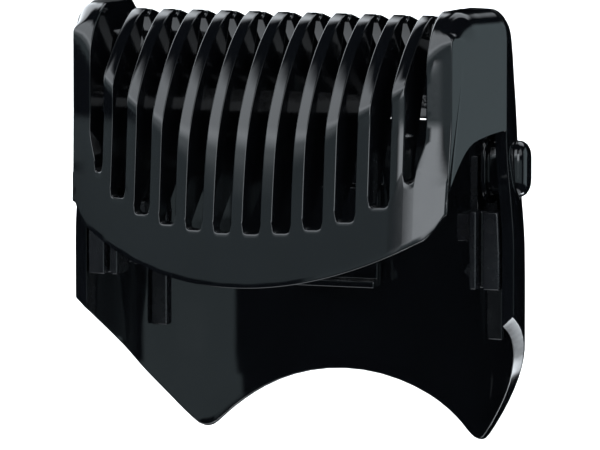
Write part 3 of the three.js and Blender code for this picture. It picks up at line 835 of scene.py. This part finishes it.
def shell_column(column):
    """Outside and inside points down one vertical line, with the ones above the opening left out."""
    points = []
    if column[0] != "back":
        for down in UPPER_DOWNS:
            inner_down = down + (SHELL_WALL + ROOF_EXTRA) * (1 - blend_up(down, CHEEK_TOP_DOWN, 6))
            points.append((at(*shell_place(column, down, 0), down),
                           at(*shell_place(column, inner_down, SHELL_WALL), inner_down)))
    else:
        points += [None] * (len(UPPER_DOWNS) - 1)
        points.append((at(*shell_place(column, REAR_OPENING_DOWN, 0), REAR_OPENING_DOWN),
                       at(*shell_place(column, REAR_OPENING_DOWN, SHELL_WALL), REAR_OPENING_DOWN)))
    for down in WINDOW_DOWNS:
        points.append((at(*shell_place(column, down, 0), down),
                       at(*shell_place(column, down, SHELL_WALL), down)))
    start = WINDOW_DOWNS[-1]
    bottoms = []
    for inset in (0, SHELL_WALL):
        x, depth = shell_place(column, ARCH_TOP_DOWN, inset)
        turned = LEG_FACE_TURN * (1 - blend_up(x, 22.6, 24.4)) * blend_up(x, 16, 19) if inset else 0
        bottoms.append(shell_bottom(x, depth) + turned)
    thinned = (SHELL_WALL - SHELL_EDGE_WALL) * (1 - blend_up(abs(shell_place(column, 40, 0)[0]), 17, 20))
    for i in range(1, WALL_STEPS + EDGE_STEPS + 1):
        pair = []
        for inset, bottom in zip((0, SHELL_WALL), bottoms):
            if i <= WALL_STEPS:
                down = mix(start, bottom - RIDGE_ABOVE_EDGE, i / WALL_STEPS)
                used = inset
            else:
                share = (i - WALL_STEPS) / EDGE_STEPS
                down = bottom - RIDGE_ABOVE_EDGE * (1 - share)
                used = inset - (thinned * share if inset else 0)
            pair.append(at(*shell_place(column, down, used), down))
        points.append(tuple(pair))
    return points


def pill_reach(across, up, half_width, half_height):
    """How far along (across, up) the outline of a pill lies."""
    near, far = 0.0, 20.0
    for _ in range(40):
        middle = (near + far) / 2
        y, z = across * middle, up * middle
        spine = max(-(half_height - half_width), min(half_height - half_width, z))
        if math.hypot(y, z - spine) < half_width:
            near = middle
        else:
            far = middle
    return near


def rear_shell():
    """The whole shell as one closed wall, with a pill-shaped window in each side."""
    outside, inside, faces = [], [], []

    def add(front, back):
        outside.append(front)
        inside.append(back)
        return len(outside) - 1

    columns = [("back", x) for x in BACK_XS] + [("side", share) for share in SIDE_SHARES] + [("front", 0)]
    grid = [[None if pair is None else add(*pair) for pair in shell_column(column)] for column in columns]
    window_rows = range(len(UPPER_DOWNS), len(UPPER_DOWNS) + len(WINDOW_DOWNS) - 1)
    window_columns = range(len(BACK_XS) + WINDOW_FROM, len(BACK_XS) + len(SIDE_SHARES) - 1)
    for c, (left, right) in enumerate(zip(grid, grid[1:])):
        for r in range(len(left) - 1):
            corners = [left[r], right[r], right[r + 1], left[r + 1]]
            if None not in corners and not (c in window_columns and r in window_rows):
                faces.append(corners)

    c0, c1 = window_columns[0], window_columns[-1] + 1
    r0, r1 = window_rows[0], window_rows[-1] + 1
    frame_line = [(c, r0) for c in range(c0, c1)] + [(c1, r) for r in range(r0, r1)]
    frame_line += [(c, r1) for c in range(c1, c0, -1)] + [(c0, r) for r in range(r1, r0, -1)]
    pill_line = []
    for c, r in frame_line:
        corner = outside[grid[c][r]] / MM
        across = corner.y - tip_depth - button_depth
        down = tip_height - corner.z - button_down
        reach = pill_reach(across, down, BUTTON_HALF_WIDTH + FIT_GAP, BUTTON_HALF_HEIGHT + FIT_GAP)
        depth, low = button_depth + across * reach, button_down + down * reach
        pill_line.append(add(at(shell_x_at(depth, low, 0), depth, low),
                             at(shell_x_at(depth, low, SHELL_WALL), depth, low)))
    count = len(frame_line)
    for i in range(count):
        j = (i + 1) % count
        (ca, ra), (cb, rb) = frame_line[i], frame_line[j]
        faces.append([grid[ca][ra], grid[cb][rb], pill_line[j], pill_line[i]])

    roof_edge = [grid[c][0] for c in range(len(BACK_XS), len(columns))]
    inner_top = CHEEK_TOP_DOWN + SHELL_WALL + ROOF_EXTRA
    corner = add(at(opening_x, SHELL_FRONT, CHEEK_TOP_DOWN), at(opening_x, SHELL_FRONT, inner_top))
    faces.append([corner] + list(reversed(roof_edge)))
    return walled("side_and_back_shell", *both_halves(outside, inside, faces))


def on_shell_seam(point):
    """True on the shell's front edges and on the edge below the rear comb."""
    return (abs(point.y / MM - tip_depth - SHELL_FRONT) < ON_EDGE
            or abs(tip_height - point.z / MM - REAR_OPENING_DOWN) < ON_EDGE)


shell = rear_shell()
CATCH_ROOT_OVERLAP = 1.1  # the root's front lies this far ahead of the tongue's back
CATCH_ROOT_HEIGHT = 2.2
_, tongue_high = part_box("catch_tongue")
tongue_half = tongue_high[0] / MM
root_front = tongue_high[1] / MM - tip_depth - CATCH_ROOT_OVERLAP
tongue_top_down = tip_height - tongue_high[2] / MM
root_low = tongue_top_down - FIT_GAP
root = box_solid("catch_root", -tongue_half, tongue_half, root_front, REAR_REACH - SHELL_WALL,
                 root_low - CATCH_ROOT_HEIGHT, root_low)
join_in(shell, [root])
ease_edges(shell, seam=on_shell_seam)
finish_piece(shell, gloss_black, "frame", "gloss_abs", "rear_shell")

# ---- Rear comb ---------------------------------------------------------------------------------------
# The second row of teeth, moulded with a plate that follows the curved back of the shell. Its eleven
# hooked arms face the teeth of the head across a narrow gap.

ARM_SIDE = [
    (0.62, 1.1), (0.6, 0.75), (0.75, 0.42), (1.05, 0.22), (1.5, 0.2), (3, 0.55), (5, 1.1), (7, 1.6),
    (9, 2.1), (10.5, 2.6), (11.8, 3.3), (13, 4.2), (14, 5.2), (15.2, 6.8), (16.2, 8.6), (16.2, 11.6),
    (14.6, 10.6), (13, 9.6), (10, 8.35), (7, 7), (4.6, 5.2), (2.2, 3),
]
PLATE_SIDE = [
    (14.3, 5.8), (15.1, 6.7), (15.9, 8), (16.9, 9.5), (17.8, 11), (18.4, 12.2), (18.9, 13.3), (17.3, 13.3),
    (16.4, 12.2), (15.6, 11.2), (14.3, 10.4),
]
PLATE_STEPS = 48
PLATE_FOOT_DOWN = 13.25  # the plate's lower edge is just below this
BEND_LEVEL = 9.0  # the plate follows the shell's outline at this distance down
BEND_FROM, BEND_TO = 4, 15  # depths between which the bend grows to its full amount


def side_solid(name, side, x0, x1, steps):
    """A side outline of (depth, down) points run along x."""
    rings = [[at(mix(x0, x1, i / steps), depth, down) for depth, down in side] for i in range(steps + 1)]
    count = len(side)
    points = [p for ring in rings for p in ring]
    faces = [list(range(count)), [steps * count + i for i in reversed(range(count))]]
    for s in range(steps):
        for i in range(count):
            j = (i + 1) % count
            faces.append([s * count + j, s * count + i, (s + 1) * count + i, (s + 1) * count + j])
    return solid_from(name, points, faces)


def row_of_arms(name, arm, count, pitch, finish):
    """Geometry Nodes: copies of one arm in a straight row centred on the middle plane."""
    tree = bpy.data.node_groups.new(name, "GeometryNodeTree")
    sockets = {}
    for label, kind in (("Arm", "NodeSocketObject"), ("Count", "NodeSocketInt"), ("Pitch", "NodeSocketFloat"),
                        ("Finish", "NodeSocketMaterial")):
        sockets[label] = tree.interface.new_socket(label, in_out="INPUT", socket_type=kind)
    tree.interface.new_socket("Geometry", in_out="OUTPUT", socket_type="NodeSocketGeometry")
    given = add_node(tree, "NodeGroupInput", {}, {})
    spans = add_node(tree, "ShaderNodeMath", {"operation": "SUBTRACT", 1: 1.0}, {0: given.outputs["Count"]})
    reach = add_node(tree, "ShaderNodeMath", {"operation": "MULTIPLY"},
                     {0: spans.outputs[0], 1: given.outputs["Pitch"]})
    start_x = add_node(tree, "ShaderNodeMath", {"operation": "MULTIPLY", 1: -0.5}, {0: reach.outputs[0]})
    start = add_node(tree, "ShaderNodeCombineXYZ", {}, {"X": start_x.outputs[0]})
    step = add_node(tree, "ShaderNodeCombineXYZ", {}, {"X": given.outputs["Pitch"]})
    line = add_node(tree, "GeometryNodeMeshLine", {"mode": "OFFSET"}, {
        "Count": given.outputs["Count"], "Start Location": start.outputs[0], "Offset": step.outputs[0],
    })
    source = add_node(tree, "GeometryNodeObjectInfo", {}, {"Object": given.outputs["Arm"]})
    copies = add_node(tree, "GeometryNodeInstanceOnPoints", {},
                      {"Points": line.outputs["Mesh"], "Instance": source.outputs["Geometry"]})
    real = add_node(tree, "GeometryNodeRealizeInstances", {}, {"Geometry": copies.outputs["Instances"]})
    painted = add_node(tree, "GeometryNodeSetMaterial", {},
                       {"Geometry": real.outputs["Geometry"], "Material": given.outputs["Finish"]})
    add_node(tree, "NodeGroupOutput", {}, {"Geometry": painted.outputs["Geometry"]})
    row = bpy.data.objects.new(name, bpy.data.meshes.new(name))
    scene.collection.objects.link(row)
    arms = row.modifiers.new("arms", "NODES")
    arms.node_group = tree
    for label, value in (("Arm", arm), ("Count", count), ("Pitch", pitch), ("Finish", finish)):
        arms[sockets[label].identifier] = value
    applied(row)
    bpy.data.objects.remove(arm)
    return row


def follow_the_back(piece):
    """Bends the rear comb so that its plate and arms follow the round back of the shell."""
    flat = shell_depth_at(0, BEND_LEVEL, 0)
    for vertex in piece.data.vertices:
        x, depth = vertex.co.x / MM, vertex.co.y / MM - tip_depth
        ahead = flat - shell_depth_at(x, BEND_LEVEL, 0)
        vertex.co.y -= ahead * blend_up(depth, BEND_FROM, BEND_TO) * MM


arm = side_solid("arm", ARM_SIDE, -TOOTH_THICKNESS / 2, TOOTH_THICKNESS / 2, 1)
arms = row_of_arms("hooked_arms", arm, TOOTH_COUNT, TOOTH_PITCH * MM, gloss_black)
comb = side_solid("rear_teeth", PLATE_SIDE, -slot_outer_x, slot_outer_x, PLATE_STEPS)
join_in(comb, [arms])
follow_the_back(comb)
ease_edges(comb, seam=lambda point: tip_height - point.z / MM > PLATE_FOOT_DOWN)
finish_piece(comb, gloss_black, "frame", "gloss_abs", "rear_comb")

# ---- Release buttons ---------------------------------------------------------------------------------
# A pill-shaped push button in each side wall, high-gloss ABS, domed where the finger lands. A flange
# inside the wall keeps it in, and a nub behind it pushes the latch.

BUTTON_RINGS = [
    # (distance in from the flange's outline, distance out from the flange's inner face)
    (0.0, 0.0), (0.0, 0.6), (0.8, 0.6), (0.8, 3.6), (0.88, 4.05), (1.1, 4.4), (1.45, 4.65), (1.95, 4.82),
    (2.5, 4.9),
]
BUTTON_FLANGE = 0.8
BUTTON_SIDES = 64
BUTTON_EDGE_RADIUS = 0.12
NUB_LENGTH = 0.8
NUB_INTO_FLANGE = 0.3
NUB_DEPTHS = (-0.4, 1.0)  # the nub's front and back, from the middle of the button
NUB_HALF_HEIGHT = 0.7


def pill_outline(half_width, half_height, count):
    """Points round a pill, as (across, up) from its middle."""
    points = []
    for i in range(count):
        turn = 2 * math.pi * i / count
        across, up = math.cos(turn), math.sin(turn)
        reach = pill_reach(across, up, half_width, half_height)
        points.append((across * reach, up * reach))
    return points


def push_button(name, side):
    """One button. side is 1 at the right and -1 at the left."""
    flange_x = button_low[0] / MM + NUB_LENGTH
    points, faces = [], []
    for inset, out in BUTTON_RINGS:
        outline = pill_outline(BUTTON_HALF_WIDTH + BUTTON_FLANGE - inset,
                               BUTTON_HALF_HEIGHT + BUTTON_FLANGE - inset, BUTTON_SIDES)
        points += [at(side * (flange_x + out), button_depth + y, button_down - z) for y, z in outline]
    for k in range(len(BUTTON_RINGS) - 1):
        for i in range(BUTTON_SIDES):
            j = (i + 1) % BUTTON_SIDES
            low, high = k * BUTTON_SIDES, (k + 1) * BUTTON_SIDES
            faces.append([low + i, low + j, high + j, high + i])
    faces.append(list(reversed(range(BUTTON_SIDES))))
    faces.append([(len(BUTTON_RINGS) - 1) * BUTTON_SIDES + i for i in range(BUTTON_SIDES)])
    button = solid_from(name, points, faces)
    inner, outer = sorted((side * (flange_x - NUB_LENGTH), side * (flange_x + NUB_INTO_FLANGE)))
    front, back = (button_depth + offset for offset in NUB_DEPTHS)
    nub = box_solid("nub", inner, outer, front, back,
                    button_down - NUB_HALF_HEIGHT, button_down + NUB_HALF_HEIGHT)
    join_in(button, [nub])
    ease_edges(button, BUTTON_EDGE_RADIUS)
    return button


for side, label in ((1, "right"), (-1, "left")):
    button = push_button(f"push_button_{label}", side)
    finish_piece(button, gloss_black, f"button_{label}", "button_abs", f"release_button_{label}")

# ---- Guide rails, slide strips, pawls and catch ------------------------------------------------------
# The parts inside the shell that hold the comb on the clipper, moulded in black acetal, which is a little
# duller than the ABS around it. The catch is a tongue of the shell's own ABS that flexes at its root.


def finished_copy(name, node, radius):
    """A copy of a frame part with its flat faces made whole and its sharp edges rounded."""
    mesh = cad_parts[node].data.copy()
    mesh.name = name
    bm = bmesh.new()
    bm.from_mesh(mesh)
    bmesh.ops.remove_doubles(bm, verts=bm.verts, dist=0.001 * MM)
    bmesh.ops.dissolve_limit(bm, angle_limit=math.radians(1), verts=bm.verts, edges=bm.edges)
    bmesh.ops.recalc_face_normals(bm, faces=bm.faces)
    bm.to_mesh(mesh)
    bm.free()
    mesh.materials.clear()
    piece = bpy.data.objects.new(name, mesh)
    scene.collection.objects.link(piece)
    ease_edges(piece, radius)
    return piece


satin_black = moulded_plastic("satin black acetal, moulded", "#0e0f12", 0.24, 0.16, 0.0016)
INNER_PARTS = [
    # (new name, frame node, edge radius, body at the right, body at the left)
    ("rail", "guide_rail", 0.2, "frame", "frame"),
    ("strip", "slide_strip", 0.25, "frame", "frame"),
    ("pawl", "latch_pawl", 0.1, "pawl_right", "pawl_left"),
]
for side, label in enumerate(("right", "left")):
    for stem, node, radius, *bodies in INNER_PARTS:
        part = finished_copy(f"{stem}_{label}", f"{node}_{label}", radius)
        finish_piece(part, satin_black, bodies[side], "rail_pom", f"{node}_{label}")

tongue = finished_copy("catch", "catch_tongue", MOULD_RADIUS)
finish_piece(tongue, gloss_black, "tongue", "gloss_abs", "catch_tongue")

# ---- Pins and springs --------------------------------------------------------------------------------
# Each pawl turns on a drawn steel pin, and a bowed strip of spring steel presses its lower arm inwards.

STEEL_EDGE_RADIUS = 0.05


def spring_steel(name):
    """Bright drawn steel, a little uneven in shade, with a fine grain in its gloss."""
    material = bpy.data.materials.new(name)
    material.use_nodes = True
    tree = material.node_tree
    shader = tree.nodes["Principled BSDF"]
    shader.inputs["Metallic"].default_value = 1.0
    shade = add_node(tree, "ShaderNodeVectorMath", {"operation": "SCALE", 0: linear("#c9ccce")[:3]},
                     {"Scale": speckle(tree, 1.2, 0.88, 1.08)})
    tree.links.new(shade.outputs[0], shader.inputs["Base Color"])
    tree.links.new(speckle(tree, 0.12, 0.16, 0.3), shader.inputs["Roughness"])
    return material


bright_steel = spring_steel("bright drawn spring steel")
for label in ("right", "left"):
    for stem, node in (("pin", "pawl_pin"), ("spring", "pawl_spring")):
        part = finished_copy(f"{stem}_{label}", f"{node}_{label}", STEEL_EDGE_RADIUS)
        finish_piece(part, bright_steel, "frame", "spring_steel", f"{node}_{label}")
    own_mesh(part)
